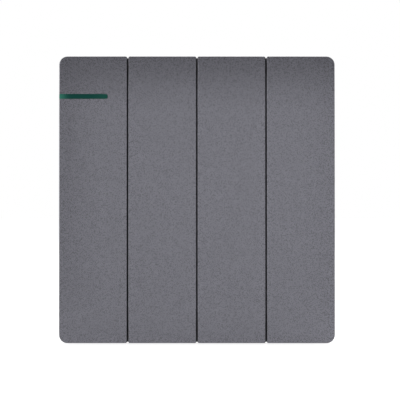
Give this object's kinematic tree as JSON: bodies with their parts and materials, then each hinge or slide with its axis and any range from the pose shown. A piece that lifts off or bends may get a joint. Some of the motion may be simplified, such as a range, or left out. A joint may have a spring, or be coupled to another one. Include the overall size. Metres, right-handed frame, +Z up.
{
  "type": "one-way light switch",
  "caption": "Flush wall light switch whose face is full-height grey rockers side by side, each tilting to work a sprung see-saw contact, with a green locator strip.",
  "frame": {"origin": "middle of the mounting bracket's back face, on the wall plane", "axes": "+X to the right across the face, +Y into the wall, +Z up"},
  "size_m": [0.0864, 0.0308, 0.09],
  "materials": {
    "grey_paint": "matte metallic paint",
    "frame_plastic": "matte",
    "dark_plastic": "matte",
    "green_lens": "translucent",
    "white_nylon": "satin",
    "housing_plastic": "satin",
    "brass": "bright",
    "silver": "satin",
    "spring_steel": "drawn",
    "screw_steel": "zinc plated",
    "bracket_steel": "galvanised"
  },
  "bodies": {
    "base": {"fixed_contact_1": "brass", "fixed_rivet_1": "silver", "load_terminal_1": "brass", "fixed_contact_2": "brass", "fixed_rivet_2": "silver", "load_terminal_2": "brass", "fixed_contact_3": "brass", "fixed_rivet_3": "silver", "load_terminal_3": "brass", "fixed_contact_4": "brass", "fixed_rivet_4": "silver", "load_terminal_4": "brass", "line_terminal": "brass", "clamp_screws": "screw_steel", "line_bar": "brass", "switch_housing": "housing_plastic", "housing_cover": "dark_plastic", "cover_screws": "screw_steel", "mounting_bracket": "bracket_steel", "front_frame": "frame_plastic"},
    "rocker_1": {"rocker_cap_1": "grey_paint", "rocker_carrier_1": "dark_plastic", "plunger_spring_1": "spring_steel", "locator_strip": "green_lens"},
    "plunger_1_body": {"plunger_1": "white_nylon"},
    "contact_1": {"moving_contact_1": "brass", "moving_rivet_1": "silver"},
    "rocker_2": {"rocker_cap_2": "grey_paint", "rocker_carrier_2": "dark_plastic", "plunger_spring_2": "spring_steel"},
    "plunger_2_body": {"plunger_2": "white_nylon"},
    "contact_2": {"moving_contact_2": "brass", "moving_rivet_2": "silver"},
    "rocker_3": {"rocker_cap_3": "grey_paint", "rocker_carrier_3": "dark_plastic", "plunger_spring_3": "spring_steel"},
    "plunger_3_body": {"plunger_3": "white_nylon"},
    "contact_3": {"moving_contact_3": "brass", "moving_rivet_3": "silver"},
    "rocker_4": {"rocker_cap_4": "grey_paint", "rocker_carrier_4": "dark_plastic", "plunger_spring_4": "spring_steel"},
    "plunger_4_body": {"plunger_4": "white_nylon"},
    "contact_4": {"moving_contact_4": "brass", "moving_rivet_4": "silver"}
  },
  "joints": [
    {"name": "rocker_1_tilt", "type": "hinge", "parent": "base", "child": "rocker_1", "pos_m": [-0.0183, -0.0048, 0], "axis": [1, 0, 0], "range_deg": [0, 3]},
    {"name": "contact_1_seesaw", "type": "hinge", "parent": "base", "child": "contact_1", "pos_m": [-0.0183, 0.00743, 0], "axis": [1, 0, 0], "range_deg": [-19.5, 0]},
    {"name": "plunger_1_slide", "type": "slide", "parent": "rocker_1", "child": "plunger_1_body", "axis": [0, 0.9997, -0.0262], "range_m": [-0.0005, 0], "stiffness_N_per_m": 500, "springref_m": 0.003, "deforming": ["plunger_spring_1"]},
    {"name": "rocker_2_tilt", "type": "hinge", "parent": "base", "child": "rocker_2", "pos_m": [-0.0061, -0.0048, 0], "axis": [1, 0, 0], "range_deg": [0, 3]},
    {"name": "contact_2_seesaw", "type": "hinge", "parent": "base", "child": "contact_2", "pos_m": [-0.0061, 0.00743, 0], "axis": [1, 0, 0], "range_deg": [-19.5, 0]},
    {"name": "plunger_2_slide", "type": "slide", "parent": "rocker_2", "child": "plunger_2_body", "axis": [0, 0.9997, -0.0262], "range_m": [-0.0005, 0], "stiffness_N_per_m": 500, "springref_m": 0.003, "deforming": ["plunger_spring_2"]},
    {"name": "rocker_3_tilt", "type": "hinge", "parent": "base", "child": "rocker_3", "pos_m": [0.0061, -0.0048, 0], "axis": [1, 0, 0], "range_deg": [0, 3]},
    {"name": "contact_3_seesaw", "type": "hinge", "parent": "base", "child": "contact_3", "pos_m": [0.0061, 0.00743, 0], "axis": [1, 0, 0], "range_deg": [-19.5, 0]},
    {"name": "plunger_3_slide", "type": "slide", "parent": "rocker_3", "child": "plunger_3_body", "axis": [0, 0.9997, -0.0262], "range_m": [-0.0005, 0], "stiffness_N_per_m": 500, "springref_m": 0.003, "deforming": ["plunger_spring_3"]},
    {"name": "rocker_4_tilt", "type": "hinge", "parent": "base", "child": "rocker_4", "pos_m": [0.0183, -0.0048, 0], "axis": [1, 0, 0], "range_deg": [0, 3]},
    {"name": "contact_4_seesaw", "type": "hinge", "parent": "base", "child": "contact_4", "pos_m": [0.0183, 0.00743, 0], "axis": [1, 0, 0], "range_deg": [-19.5, 0]},
    {"name": "plunger_4_slide", "type": "slide", "parent": "rocker_4", "child": "plunger_4_body", "axis": [0, 0.9997, -0.0262], "range_m": [-0.0005, 0], "stiffness_N_per_m": 500, "springref_m": 0.003, "deforming": ["plunger_spring_4"]}
  ],
  "couplings": [
    {"joint": "contact_1_seesaw", "follows": "rocker_1_tilt", "ratio": -6.5},
    {"joint": "contact_2_seesaw", "follows": "rocker_2_tilt", "ratio": -6.5},
    {"joint": "contact_3_seesaw", "follows": "rocker_3_tilt", "ratio": -6.5},
    {"joint": "contact_4_seesaw", "follows": "rocker_4_tilt", "ratio": -6.5}
  ]
}
